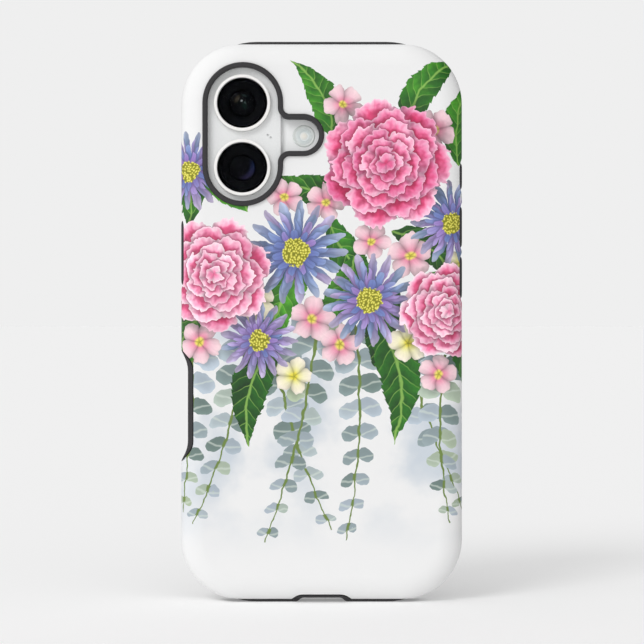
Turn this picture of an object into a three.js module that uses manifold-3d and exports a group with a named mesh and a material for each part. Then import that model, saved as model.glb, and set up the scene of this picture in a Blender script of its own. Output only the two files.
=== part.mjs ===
// A touch-screen phone standing on its lower edge in a two-layer protective case:
// a hard outer shell over a rubber inner liner, with the phone held in the liner.
// Millimetres. +Z is up, +X is to the right as the case's back is looked at, and the
// back faces -Y, so the screen faces +Y. The origin is the middle of the base.
import * as THREE from "three";
import { mergeVertices } from "three/addons/utils/BufferGeometryUtils.js";
import Module from "manifold-3d";

const wasm = await Module();
wasm.setup();

// ---- Driving dimensions ----------------------------------------------------------

// The phone's body, without its camera plateau.
const phoneWidth = 71.6;
const phoneHeight = 147.6;
const phoneDepth = 7.8;
const phoneCorner = 14;
const phoneEdge = 1.6; // rounding from its back and front into its sides

// The case round it.
const sideBuild = 2.4; // from the phone's sides to the case's outline
const backBuild = 2.9; // from the phone's back to the case's back
const frontLip = 1.0; // the liner's lip stands this far in front of the screen
const cameraLip = 0.9; // the camera lip stands this far behind the case's back
const caseCorner = 16.4;
const backEdgeRun = 6.5; // the back's rounded edge, measured across the back
const backEdgeDrop = 4.4; // and measured towards the front
const bumperProud = 0.57; // the rubber stands past the shell at the top and the bottom
const bumperCorner = 19.2;
const bumperHalf = 23.5; // half the length of rubber that shows at the top and the bottom
const bumperRamp = 6; // the shell's edge climbs to its full depth over this length
const bumperLead = 1.2; // the stretch starts this far behind the end of the rounded edge
const bumperInset = 0.3; // the rubber there is this much narrower than the shell
const fit = 0.25; // clearance between a layer and the next

const shellBack = 1.3;
const shellSide = 1.0;
const shellFrontGap = 1.5; // the shell stops this far behind the case's front
const glassCover = 1.7; // the front lip covers this much of the phone's front edge

// The camera opening: an upright pill with a lobe to its right for the flash.
const cameraX = -21.35;
const cameraZ = 126.7; // the middle of the lobe and between the lenses
const lipPillRadius = 10.85;
const lipPillUp = 8.85; // the pill's straight length above that middle
const lipPillDown = 8.35; // and below it
const lipLobeX = -5.05;
const lipLobeRadius = 5.68;
const lipFillet = 1.8;
const lipBand = 1.35;
const lipOuterRounding = [
  { rise: 0, inset: 0.45 },
  { rise: 0.12, inset: 0.2 },
  { rise: 0.45, inset: 0 },
];
const lipInnerRounding = [
  { rise: 0, grow: 0.45 },
  { rise: 0.15, grow: 0.2 },
  { rise: 0.6, grow: 0 },
];

// What shows in it.
const plateauRadius = 10.5;
const plateauHeight = 1.6;
const plateauEdge = 1.3;
const lensX = -21.5;
const lensApart = 17.5;
const lensRingRadius = 7.7;
const lensRingBand = 0.95;
const lensProud = 3.1; // from the phone's back to the front of a lens ring
const flashX = -4.8;
const flashZ = 126.6;
const flashRadius = 3.03;
const moduleHalf = 7.6;
const emitterHalf = 1.2;
const sensorHalf = 9.5; // the front camera and sensors look out through a pill
const sensorRadius = 2.6;
const sensorDrop = 9.4; // from the phone's top to the pill's middle

// Keys under the rubber: which side, and the lower and upper end of each cover.
const keys = [
  { name: "action_button", side: 1, low: 112.1, high: 119.4 },
  { name: "volume_up_button", side: 1, low: 96.3, high: 107.6 },
  { name: "volume_down_button", side: 1, low: 82.4, high: 94.0 },
  { name: "power_button", side: -1, low: 86.1, high: 103.8 },
];
const keyCoverBack = -2.65;
const keyCoverFront = 3.5;
const keyCoverCorner = 1.9;
const keyCoverRounding = [
  { inside: 0.6, inset: 0 },
  { inside: 0.15, inset: 0.35 },
  { inside: 0, inset: 0.9 },
];
const keyWidth = 2.8;
const keyProud = 0.35;
const keySink = 1.2; // a key reaches this far into the frame
const keyEndInset = 1.6; // a key is this much shorter than its cover at each end
const windowFlare = 1.1; // a key window opens out by this much at the shell's face
const windowSeat = 0.9; // and starts to do so this far inside the outline

// The camera key, bare in a scoop of the case's left side.
const scoopLow = 38.2;
const scoopHigh = 68.6;
const scoopRun = 6.0; // each end of the scoop slopes in over this length
const scoopLinerX = 36.25;
const scoopShellX = 34.7;
const scoopBorder = 0.5; // the shell's scoop is this much longer at each end
const scoopEase = [0.7, 1.6]; // how the slope starts, inwards and along
const cameraKeyLow = 45.4;
const cameraKeyHigh = 62.6;
const cameraKeyWidth = 3.3;
const cameraKeyRecess = 0.1; // its face lies this far inside the phone's side
const cameraKeySink = 1.1;
const cameraKeyRoom = 0.6; // the liner is open this far round it

// The charging port and the arch over it.
const archShellTop = 2.2;
const archShellHalf = 5.0;
const archShellBase = 10.6;
const archLinerTop = 1.2;
const archLinerHalf = 4.8;
const archLinerBase = 7.3;
const plugHalf = 6.6;
const plugRadius = 3.3;
const socketHalf = 4.47;
const socketRadius = 1.58;
const socketWall = 0.3;
const socketDepth = 6.6;
const tongueHalf = 3.35;
const tongueThick = 0.7;
const tongueRecess = 1.4;
const speakerX = 15.5;
const speakerSlotHalf = 4.4;
const speakerSlotRadius = 1.1;
const speakerHoleRadius = 0.55;
const speakerHolePitch = 1.9;
const speakerHoles = 5;

// The phone's build.
const glassThick = 0.8;
const glassInset = 1.3;
const glassChamfer = 0.2;
const pieceGap = 0.3;
const frameWall = 2.6;
const midPlateThick = 0.8;
const displayThick = 1.0;
const coilThick = 0.6;
const coilCentreZ = 68;
const coilOuter = 22;
const coilInner = 10;

// ---- Places worked out from them ------------------------------------------------

const caseDepth = cameraLip + backBuild + phoneDepth + frontLip;
const lipY = -caseDepth / 2;
const caseBackY = lipY + cameraLip;
const phoneBackY = caseBackY + backBuild;
const phoneFrontY = phoneBackY + phoneDepth;
const caseFrontY = phoneFrontY + frontLip;
const phoneMidY = (phoneBackY + phoneFrontY) / 2;
const shellFrontY = caseFrontY - shellFrontGap;

const caseHalf = phoneWidth / 2 + sideBuild;
const caseHeight = phoneHeight + 2 * sideBuild;
const phoneHalf = phoneWidth / 2;
const phoneLow = sideBuild;
const phoneHigh = phoneLow + phoneHeight;

const shellOutline = {
  half: caseHalf,
  low: bumperProud,
  high: caseHeight - bumperProud,
  corner: caseCorner,
};
const bumperOutline = {
  half: caseHalf - bumperInset,
  low: 0,
  high: caseHeight,
  corner: bumperCorner,
};
const phoneOutline = { half: phoneHalf, low: phoneLow, high: phoneHigh, corner: phoneCorner };

const backGlassInnerY = phoneBackY + glassThick;
const coilBackY = backGlassInnerY + pieceGap;
const innerBackY = coilBackY + coilThick + pieceGap; // where battery and boards start
const bumperBackY = caseBackY + backEdgeDrop - bumperLead;
const frontGlassInnerY = phoneFrontY - glassThick;
const displayFrontY = frontGlassInnerY - pieceGap;
const displayBackY = displayFrontY - displayThick;
const midPlateFrontY = displayBackY - pieceGap;
const midPlateBackY = midPlateFrontY - midPlateThick;
const innerFrontY = midPlateBackY - pieceGap; // and where they end
const plateauY = phoneBackY - plateauHeight;
const lensFrontY = phoneBackY - lensProud;
const sensorZ = phoneHigh - sensorDrop;
const beyond = 3; // how far a cutter runs past what it cuts
const cameraArcSteps = 10;
const curveSteps = 5; // odd, so no point of an S-curve lies in line with its neighbours

// ---- Solids ----------------------------------------------------------------------

// Where an outline's u and v and its station go in space, for each stacking axis.
const spaces = {
  x: (u, v, at) => [at, u, v],
  y: (u, v, at) => [u, at, v],
  z: (u, v, at) => [u, v, at],
};

// A solid from outlines stacked along an axis, each with as many points as the next.
function loft(axis, rings) {
  const count = rings[0].outline.length;
  const positions = [];
  for (const { at, outline } of rings)
    for (const point of outline) positions.push(...spaces[axis](point.x, point.y, at));
  const faces = [];
  for (let ring = 0; ring < rings.length - 1; ring++)
    for (let k = 0; k < count; k++) {
      const next = (k + 1) % count;
      const [a, b, c, d] = [
        ring * count + k,
        ring * count + next,
        (ring + 1) * count + next,
        (ring + 1) * count + k,
      ];
      faces.push([a, b, c], [a, c, d]);
    }
  const anticlockwise = THREE.ShapeUtils.area(rings[0].outline) > 0;
  const lastRing = (rings.length - 1) * count;
  for (const { start, upward } of [
    { start: 0, upward: false },
    { start: lastRing, upward: true },
  ]) {
    const outline = rings[start / count].outline;
    for (const [a, b, c] of THREE.ShapeUtils.triangulateShape([...outline], [])) {
      const turn = THREE.ShapeUtils.area([outline[a], outline[b], outline[c]]) > 0;
      const keep = (turn === anticlockwise) === upward;
      faces.push(keep ? [start + a, start + b, start + c] : [start + a, start + c, start + b]);
    }
  }
  const geometry = new THREE.BufferGeometry();
  geometry.setAttribute("position", new THREE.Float32BufferAttribute(positions, 3));
  geometry.setIndex(faces.flat());
  return solidFrom(geometry);
}

function solidFrom(geometry) {
  const merged = mergeVertices(geometry, 1e-4);
  const vertProperties = new Float32Array(merged.attributes.position.array);
  const triVerts = new Uint32Array(merged.index.array);
  const made = new wasm.Manifold(new wasm.Mesh({ numProp: 3, vertProperties, triVerts }));
  if (made.volume() >= 0) return made;
  for (let k = 0; k < triVerts.length; k += 3)
    [triVerts[k + 1], triVerts[k + 2]] = [triVerts[k + 2], triVerts[k + 1]];
  return new wasm.Manifold(new wasm.Mesh({ numProp: 3, vertProperties, triVerts }));
}

const joined = (...solids) => solids.reduce((sum, next) => sum.add(next));
const cut = (solid, ...tools) => tools.reduce((rest, tool) => rest.subtract(tool), solid);

// A rectangle with round corners, anticlockwise from its lower right corner.
function roundedRect(left, right, low, high, radius, steps = 8) {
  const corners = [
    [right - radius, low + radius, -90],
    [right - radius, high - radius, 0],
    [left + radius, high - radius, 90],
    [left + radius, low + radius, 180],
  ];
  const points = [];
  for (const [x, z, start] of corners)
    for (let k = 0; k <= steps; k++) {
      const angle = THREE.MathUtils.degToRad(start + (90 * k) / steps);
      points.push(new THREE.Vector2(x + radius * Math.cos(angle), z + radius * Math.sin(angle)));
    }
  return points;
}

function outlineOf({ half, low, high, corner }, inset, steps = 8) {
  return roundedRect(-half + inset, half - inset, low + inset, high - inset, corner - inset, steps);
}

function circle(x, z, radius, steps = 24) {
  return new THREE.Path().absarc(x, z, radius, 0, 2 * Math.PI).getPoints(steps / 2).slice(0, -1);
}

function prism(axis, outline, from, to) {
  return loft(axis, [
    { at: from, outline },
    { at: to, outline },
  ]);
}

function disc(x, z, radius, from, to, steps = 24) {
  return prism("y", circle(x, z, radius, steps), from, to);
}

function box(left, right, back, front, low, high, radius = 1) {
  return prism("y", roundedRect(left, right, low, high, radius, 3), back, front);
}

const block = ({ x, z }, half, back, front, radius) =>
  box(x - half, x + half, back, front, z - half, z + half, radius);

// An outline with two round ends, longer across or longer along.
function pill(x, z, halfX, halfZ, steps = 4) {
  const radius = Math.min(halfX, halfZ) * 0.999; // so its straight sides keep a length
  return roundedRect(x - halfX, x + halfX, z - halfZ, z + halfZ, radius, steps);
}

// A slot along X, cut or built upwards.
function slot(x, y, half, radius, low, high) {
  return prism("z", pill(x, y, half, radius), low, high);
}

// Stations of a quarter ellipse from a back plane into a side, as inset and Y.
function roundedBack(run, drop, backY, sideInset, steps = 5) {
  const stations = [];
  for (let k = 0; k <= steps; k++) {
    const turn = (Math.PI / 2) * (k / steps);
    stations.push({
      inset: sideInset + run * (1 - Math.sin(turn)),
      y: backY + drop * (1 - Math.cos(turn)),
    });
  }
  return stations;
}

function stacked(outline, stations, steps = 8) {
  return loft(
    "y",
    stations.map(({ y, inset }) => ({ at: y, outline: outlineOf(outline, inset, steps) })),
  );
}

// ---- The case's outer form --------------------------------------------------------

const frontRounding = [
  { y: caseFrontY - 1.3, inset: 0 },
  { y: caseFrontY - 0.6, inset: 0.3 },
  { y: caseFrontY - 0.15, inset: 0.8 },
  { y: caseFrontY, inset: 1.3 },
];

function caseForm(inset = 0) {
  return stacked(shellOutline, [
    ...roundedBack(backEdgeRun - inset, backEdgeDrop - inset, caseBackY + inset, inset),
    ...frontRounding.map((station) => ({ ...station, inset: station.inset + inset })),
  ]);
}

// The hollow in the shell, or the liner's outer form where the shell covers it.
function underShell(clearance) {
  const side = shellSide + clearance;
  const back = shellBack + clearance;
  return stacked(shellOutline, [
    ...roundedBack(backEdgeRun - side, backEdgeDrop - back, caseBackY + back, side),
    { y: caseFrontY + (clearance ? -frontLip : beyond), inset: side },
  ]);
}

function cameraContour(inset) {
  const pill = lipPillRadius - inset;
  const lobe = lipLobeRadius - inset;
  const fillet = lipFillet + inset;
  const side = cameraX + pill;
  const quarter = Math.PI / 2;
  return new THREE.Shape()
    .absarc(side + fillet, cameraZ - lobe - fillet, fillet, Math.PI, quarter, true)
    .absarc(lipLobeX, cameraZ, lobe, -quarter, quarter, false)
    .absarc(side + fillet, cameraZ + lobe + fillet, fillet, -quarter, -Math.PI, true)
    .absarc(cameraX, cameraZ + lipPillUp, pill, 0, Math.PI, false)
    .absarc(cameraX, cameraZ - lipPillDown, pill, Math.PI, 2 * Math.PI, false)
    .getPoints(cameraArcSteps / 2);
}

// The region left of a scoop's edge: it slopes in to a straight bed and out again.
function scoopCutter(bed, longer) {
  const [low, high] = [scoopLow - longer, scoopHigh + longer];
  const edge = caseHalf + 0.05;
  const eased = scoopEase[0] - edge;
  const along = scoopEase[1];
  const half = scoopRun / 2;
  const outline = new THREE.Shape()
    .moveTo(-caseHalf - beyond, high)
    .lineTo(-edge, high)
    .bezierCurveTo(eased, high - along, -bed, high - half, -bed, high - scoopRun)
    .lineTo(-bed, low + scoopRun)
    .bezierCurveTo(-bed, low + half, eased, low + along, -edge, low)
    .lineTo(-caseHalf - beyond, low)
    .getPoints(curveSteps);
  return prism("y", outline, lipY - beyond, caseFrontY + beyond);
}

// The region under an arch over the charging port.
function archCutter(half, base, top) {
  const ease = (base - half) * 0.5;
  const outline = new THREE.Shape()
    .moveTo(-base, -beyond)
    .lineTo(-base, 0)
    .bezierCurveTo(-base + ease, 0, -half - ease, top, -half, top)
    .lineTo(half, top)
    .bezierCurveTo(half + ease, top, base - ease, 0, base, 0)
    .lineTo(base, -beyond)
    .getPoints(curveSteps);
  return prism("y", outline, lipY - beyond, caseFrontY + beyond);
}

// The stretch of the top and the bottom, seen from above, where the rubber comes through.
function bumperStretch(clearance) {
  const near = bumperHalf - clearance;
  const mid = near + bumperRamp / 2;
  const far = near + bumperRamp;
  const back = bumperBackY + clearance;
  const outline = new THREE.Shape()
    .moveTo(-near, back)
    .lineTo(near, back)
    .bezierCurveTo(mid, back, mid, shellFrontY, far, shellFrontY)
    .lineTo(far, caseFrontY + beyond)
    .lineTo(-far, caseFrontY + beyond)
    .lineTo(-far, shellFrontY)
    .bezierCurveTo(-mid, shellFrontY, -mid, back, -near, back)
    .getPoints(curveSteps);
  outline.pop();
  return prism("z", outline, -beyond, caseHeight + beyond);
}

// A key cover's outline on the side of the case, grown all round.
function keyOutline({ low, high }, grow) {
  const [back, front] = [keyCoverBack - grow, keyCoverFront + grow];
  return roundedRect(back, front, low - grow, high + grow, keyCoverCorner + grow, 4);
}

function shellWindow(key) {
  return loft("x", [
    { at: key.side * (phoneHalf - beyond), outline: keyOutline(key, fit) },
    { at: key.side * (caseHalf - windowSeat), outline: keyOutline(key, fit) },
    { at: key.side * (caseHalf + fit), outline: keyOutline(key, fit + windowFlare) },
  ]);
}

function keyCover(key) {
  return loft("x", [
    { at: key.side * (phoneHalf + fit), outline: keyOutline(key, 0) },
    ...keyCoverRounding.map(({ inside, inset }) => ({
      at: key.side * (caseHalf - inside),
      outline: keyOutline(key, -inset),
    })),
  ]);
}

function keyBody({ side, low, high }, grow) {
  const length = (high - low) / 2 - keyEndInset + grow;
  const outline = pill(phoneMidY, (low + high) / 2, keyWidth / 2 + grow, length);
  const inner = phoneHalf - keySink - grow;
  return prism("x", outline, side * inner, side * (phoneHalf + keyProud + grow));
}

const cameraKeyMidZ = (cameraKeyLow + cameraKeyHigh) / 2;
const cameraKeyHalf = (cameraKeyHigh - cameraKeyLow) / 2;

function cameraKeyBody(grow) {
  const outline = pill(
    phoneMidY,
    cameraKeyMidZ,
    cameraKeyWidth / 2 + grow,
    cameraKeyHalf + grow,
  );
  const outer = phoneHalf - cameraKeyRecess + grow;
  return prism("x", outline, grow + cameraKeySink - phoneHalf, -outer);
}

// ---- Case: outer shell and inner liner ---------------------------------------------

function outerShell() {
  const frontCut = prism("y", outlineOf(shellOutline, -beyond), shellFrontY, caseFrontY + beyond);
  return cut(
    caseForm(),
    underShell(0),
    frontCut,
    bumperStretch(0),
    prism("y", cameraContour(-fit), lipY - beyond, phoneBackY),
    scoopCutter(scoopShellX, scoopBorder),
    archCutter(archShellHalf, archShellBase, archShellTop),
    ...keys.map(shellWindow),
  );
}

// The phone's body, grown by a clearance.
function phoneForm(grow) {
  const edge = phoneEdge + grow;
  return stacked(phoneOutline, [
    ...roundedBack(edge, edge, phoneBackY - grow, -grow, 3),
    ...roundedBack(edge, edge, -phoneFrontY - grow, -grow, 3)
      .reverse()
      .map(({ y, inset }) => ({ y: -y, inset })),
  ]);
}

function plateau(grow) {
  const edge = plateauEdge + grow;
  const middle = cameraZ + (lipPillUp - lipPillDown) / 2;
  const straight = (lipPillUp + lipPillDown) / 2;
  const outline = (inset) => {
    const radius = plateauRadius + grow - inset;
    return pill(cameraX, middle, radius, radius + straight, 7);
  };
  const rim = roundedBack(edge, edge, plateauY - grow, 0, 4);
  const root = (phoneBackY + backGlassInnerY) / 2; // sunk into the plate it grows from
  return loft("y", [
    ...rim.map(({ y, inset }) => ({ at: y, outline: outline(inset) })),
    { at: root, outline: outline(0) },
  ]);
}

const lipRings = (rings) =>
  loft("y", rings.map(({ at, inset }) => ({ at, outline: cameraContour(inset) })));

const cameraLipRing = () =>
  lipRings([
    ...lipOuterRounding.map(({ rise, inset }) => ({ at: lipY + rise, inset })),
    { at: phoneBackY - fit, inset: 0 },
  ]);

const cameraLipOpening = () =>
  lipRings([
    { at: lipY - beyond, inset: lipBand - lipInnerRounding[0].grow },
    ...lipInnerRounding.map(({ rise, grow }) => ({ at: lipY + rise, inset: lipBand - grow })),
    { at: phoneBackY, inset: lipBand },
  ]);

function innerLiner() {
  const lipBack = shellFrontY + fit;
  const lipBlock = prism("y", outlineOf(shellOutline, -beyond), lipBack, caseFrontY + beyond);
  const bumperEdge = 0.5;
  const bumperForm = stacked(bumperOutline, [
    { y: bumperBackY, inset: bumperEdge },
    { y: bumperBackY + bumperEdge, inset: 0 },
    ...frontRounding,
  ]);
  const skirt = caseForm(0.05); // the rubber shows in the scoop and under the arch
  const body = joined(
    underShell(fit),
    caseForm().intersect(lipBlock),
    bumperForm.intersect(bumperStretch(fit)),
    skirt.intersect(scoopCutter(scoopShellX + fit, scoopBorder - fit)),
    skirt.intersect(archCutter(archShellHalf - fit, archShellBase - fit, archShellTop - fit)),
    cameraLipRing(),
    ...keys.map(keyCover),
  );
  const screen = outlineOf(phoneOutline, glassCover);
  const keyGap = pill(
    phoneMidY,
    cameraKeyMidZ,
    cameraKeyWidth / 2 + cameraKeyRoom,
    cameraKeyHalf + cameraKeyRoom,
  );
  const [portLow, portHigh] = [-beyond, phoneLow + 1];
  return cut(
    body,
    phoneForm(fit),
    prism("y", screen, phoneMidY, caseFrontY + beyond),
    plateau(pieceGap),
    cameraLipOpening(),
    ...keys.map((key) => keyBody(key, fit)),
    scoopCutter(scoopLinerX, 0),
    prism("x", keyGap, -caseHalf - beyond, -phoneHalf + 1),
    archCutter(archLinerHalf, archLinerBase, archLinerTop),
    slot(0, phoneMidY, plugHalf, plugRadius, portLow, portHigh),
    ...[-speakerX, speakerX].map((x) =>
      slot(x, phoneMidY, speakerSlotHalf, speakerSlotRadius, portLow, portHigh),
    ),
  );
}

// ---- Phone: frame and glass --------------------------------------------------------

const lensCentres = [
  { name: "upper", x: lensX, z: cameraZ + lensApart / 2 },
  { name: "lower", x: lensX, z: cameraZ - lensApart / 2 },
];

function phoneFrame() {
  const opening = (inset, from, to) => prism("y", outlineOf(phoneOutline, inset), from, to);
  const [low, high] = [phoneLow - 1, phoneLow + frameWall + 1];
  const socketWell = box(
    -socketHalf - 1,
    socketHalf + 1,
    innerBackY,
    displayBackY,
    phoneLow + frameWall - 0.5,
    phoneLow + socketDepth + 1.5,
  );
  const grille = [];
  for (const middle of [-speakerX, speakerX])
    for (let k = 0; k < speakerHoles; k++) {
      const x = middle + (k - (speakerHoles - 1) / 2) * speakerHolePitch;
      grille.push(slot(x, phoneMidY, speakerHoleRadius, speakerHoleRadius, low, high));
    }
  return cut(
    phoneForm(0),
    opening(glassInset - pieceGap, phoneBackY - beyond, backGlassInnerY + pieceGap),
    opening(frameWall, phoneBackY - beyond, midPlateBackY),
    opening(frameWall, midPlateFrontY, phoneFrontY + beyond),
    opening(glassInset - pieceGap, frontGlassInnerY - pieceGap, phoneFrontY + beyond),
    ...keys.map((key) => keyBody(key, pieceGap)),
    cameraKeyBody(pieceGap),
    slot(0, phoneMidY, socketHalf + pieceGap, socketRadius + pieceGap, low, high),
    socketWell,
    ...grille,
  );
}

function backGlass() {
  const plate = stacked(phoneOutline, [
    { y: phoneBackY, inset: glassInset + glassChamfer },
    { y: phoneBackY + glassChamfer, inset: glassInset },
    { y: backGlassInnerY, inset: glassInset },
  ]);
  const [from, to] = [plateauY - beyond, backGlassInnerY + beyond];
  return cut(
    joined(plate, plateau(0)),
    ...lensCentres.map(({ x, z }) => disc(x, z, lensRingRadius + pieceGap, from, to, 28)),
    disc(flashX, flashZ, flashRadius + pieceGap, from, to),
  );
}

const frontGlass = () =>
  stacked(phoneOutline, [
    { y: frontGlassInnerY, inset: glassInset },
    { y: phoneFrontY - glassChamfer, inset: glassInset },
    { y: phoneFrontY, inset: glassInset + glassChamfer },
  ]);

function displayPanel() {
  const panel = outlineOf(phoneOutline, frameWall + pieceGap);
  const sensors = pill(0, sensorZ, sensorHalf, sensorRadius, 6);
  return cut(
    prism("y", panel, displayBackY, displayFrontY),
    prism("y", sensors, displayBackY - beyond, displayFrontY + beyond),
  );
}

function frontCamera() {
  const [x, radius] = [sensorHalf - sensorRadius, sensorRadius - pieceGap];
  return disc(x, sensorZ, radius, displayBackY, displayFrontY, 20);
}

// ---- Phone: cameras and flash -------------------------------------------------------

const lensBore = lensRingRadius - lensRingBand;
const lensGlassRadius = lensBore - pieceGap;
const lensGlassFrontY = lensFrontY + 0.15;
const lensGlassBackY = lensGlassFrontY + 0.7;

function lensRing({ x, z }) {
  const rings = [
    { at: lensFrontY, radius: lensRingRadius - glassChamfer },
    { at: lensFrontY + glassChamfer, radius: lensRingRadius },
    { at: plateauY + plateauHeight / 2, radius: lensRingRadius },
  ];
  return cut(
    loft("y", rings.map(({ at, radius }) => ({ at, outline: circle(x, z, radius, 28) }))),
    disc(x, z, lensBore, lensFrontY - beyond, phoneBackY + beyond, 28),
  );
}

function lensGlass({ x, z }) {
  return disc(x, z, lensGlassRadius, lensGlassFrontY, lensGlassBackY, 28);
}

function cameraModule({ x, z }) {
  const barrel = disc(x, z, lensGlassRadius - pieceGap, lensGlassBackY + pieceGap, innerFrontY);
  return joined(barrel, block({ x, z }, moduleHalf, coilBackY, innerFrontY));
}

const flashEmitter = () =>
  block({ x: flashX, z: flashZ }, emitterHalf, coilBackY, innerBackY - pieceGap, pieceGap);

// ---- Phone: what it holds inside -----------------------------------------------------

function socket() {
  const floor = phoneLow + socketDepth - socketWall;
  const layer = (wall, low, high) =>
    slot(0, phoneMidY, socketHalf - wall, socketRadius - wall, low, high);
  const tongueBack = phoneMidY - tongueThick / 2;
  const tongue = roundedRect(-tongueHalf, tongueHalf, tongueBack, tongueBack + tongueThick, 0.2, 3);
  return joined(
    cut(layer(0, phoneLow + 0.1, floor + socketWall), layer(socketWall, phoneLow - beyond, floor)),
    prism("z", tongue, phoneLow + tongueRecess, floor + socketWall / 2),
  );
}

function chargingCoil() {
  const coilFrontY = coilBackY + coilThick;
  return cut(
    disc(0, coilCentreZ, coilOuter, coilBackY, coilFrontY, 28),
    disc(0, coilCentreZ, coilInner, coilBackY - beyond, coilFrontY + beyond, 24),
  );
}

const inside = (left, right, low, high) => box(left, right, innerBackY, innerFrontY, low, high);

// ---- Finishes and the group -----------------------------------------------------------

const finish = (color, roughness, metalness = 0) =>
  new THREE.MeshStandardMaterial({ color, roughness, metalness });
const printedWhite = finish(0xf3f3f4, 0.3);
const darkRubber = finish(0x3b3c40, 0.75);
const paleMetal = finish(0xdfe1e3, 0.35, 1);
const whiteGlass = finish(0xeceff0, 0.12);
const blackGlass = finish(0x07080b, 0.05);
const polishedRing = finish(0xf1efea, 0.2, 1);
const warmLens = finish(0xf0ece0, 0.25);
const phosphor = finish(0xf4dc7a, 0.6);
const blackPlastic = finish(0x141517, 0.5);
const batteryFoil = finish(0x2a2c2f, 0.45);
const boardGreen = finish(0x1f3a2c, 0.5);
const copper = finish(0xb5703d, 0.4, 1);
const steel = finish(0x9ea1a5, 0.35, 1);

const phoneInCase = new THREE.Group();

function add(name, solid, material) {
  const { numProp, vertProperties, triVerts } = solid.getMesh();
  const positions = new Float32Array((vertProperties.length / numProp) * 3);
  for (let k = 0; k * 3 < positions.length; k++)
    positions.set(vertProperties.subarray(k * numProp, k * numProp + 3), k * 3);
  const geometry = new THREE.BufferGeometry();
  geometry.setAttribute("position", new THREE.BufferAttribute(positions, 3));
  geometry.setIndex(new THREE.BufferAttribute(new Uint32Array(triVerts), 1));
  geometry.computeVertexNormals();
  const mesh = new THREE.Mesh(geometry, material);
  mesh.name = name;
  phoneInCase.add(mesh);
}

add("outer_shell", outerShell(), printedWhite);
add("inner_liner", innerLiner(), darkRubber);
add("phone_frame", phoneFrame(), paleMetal);
add("back_glass", backGlass(), whiteGlass);
add("front_glass", frontGlass(), blackGlass);
add("display_panel", displayPanel(), blackPlastic);
add("front_camera", frontCamera(), blackGlass);
for (const lens of lensCentres) {
  add(lens.name + "_lens_ring", lensRing(lens), polishedRing);
  add(lens.name + "_lens_glass", lensGlass(lens), blackGlass);
  add(lens.name + "_camera_module", cameraModule(lens), blackPlastic);
}
add("flash_lens", disc(flashX, flashZ, flashRadius, phoneBackY, backGlassInnerY), warmLens);
add("flash_emitter", flashEmitter(), phosphor);
for (const key of keys) add(key.name, keyBody(key, 0), paleMetal);
add("camera_key", cameraKeyBody(0), paleMetal);
add("charging_socket", socket(), steel);
add("charging_coil", chargingCoil(), copper);
add("battery", inside(-16, 30, 22, 104), batteryFoil);
add("logic_board", inside(-9, 30, 108, 141), boardGreen);
add("loudspeaker", inside(8, 30, 8, 18), blackPlastic);
add("haptic_motor", inside(-30, -8, 8, 18), steel);

export default phoneInCase;
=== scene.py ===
"""A phone standing in a printed two-layer case, looked at from behind.

Forms are built in millimetres, in the part's own frame, and scaled to metres at the end:
+Z is up, +X is to the right as the case's back is looked at, and the back faces -Y.
"""

import math
from functools import partial, partialmethod

import bmesh
import bpy
from mathutils import Matrix, Vector
from mathutils.geometry import interpolate_bezier


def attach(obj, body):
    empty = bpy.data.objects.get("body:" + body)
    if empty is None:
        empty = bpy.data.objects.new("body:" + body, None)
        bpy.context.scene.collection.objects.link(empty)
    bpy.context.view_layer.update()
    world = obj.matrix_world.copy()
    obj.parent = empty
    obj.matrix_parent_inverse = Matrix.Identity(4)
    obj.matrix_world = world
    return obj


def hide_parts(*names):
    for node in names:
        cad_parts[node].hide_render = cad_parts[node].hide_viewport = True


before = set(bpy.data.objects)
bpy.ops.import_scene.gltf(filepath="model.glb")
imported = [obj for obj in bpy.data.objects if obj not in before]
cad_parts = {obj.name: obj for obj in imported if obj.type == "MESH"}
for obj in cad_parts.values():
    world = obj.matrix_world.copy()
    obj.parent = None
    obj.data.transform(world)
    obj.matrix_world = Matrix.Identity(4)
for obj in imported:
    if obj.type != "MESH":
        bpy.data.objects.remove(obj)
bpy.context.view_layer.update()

MM = 0.001
X, Y, Z = 0, 1, 2

# ---- Sizes in millimetres, as in the part's source unless they say otherwise ----

CASE_HALF = 38.2
CASE_HIGH = 152.4
SHELL_LOW = 0.57
SHELL_HIGH = CASE_HIGH - SHELL_LOW
SHELL_CORNER = 16.4
EDGE_RUN = 6.5
EDGE_DROP = 4.4
LIP_Y = -6.3
BACK_Y = -5.4
FRONT_Y = 6.3
FRONT_ROUND = 1.3
SHELL_FRONT_Y = 4.8
SHELL_BACK = 1.3
SHELL_SIDE = 1.0
FIT = 0.25
HAIRLINE = 0.08
PAST = 3.0

PHONE_HALF = 35.8
PHONE_LOW = 2.4
PHONE_HIGH = 150.0
PHONE_CORNER = 14.0
PHONE_EDGE = 1.6
PHONE_BACK_Y = -2.5
PHONE_FRONT_Y = 5.3
PHONE_MID_Y = 1.4
GLASS_INSET = 1.3
GLASS_INNER_Y = -1.7
SCREEN_COVER = 1.7

BUMPER_HALF = 37.9
BUMPER_CORNER = 20.3  # rounder than in the source, as the photograph shows
BUMPER_ROUND = 1.0  # the same
BUMPER_NEAR = 23.5
BUMPER_FAR = 29.5
BUMPER_BACK_Y = -2.2

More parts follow.
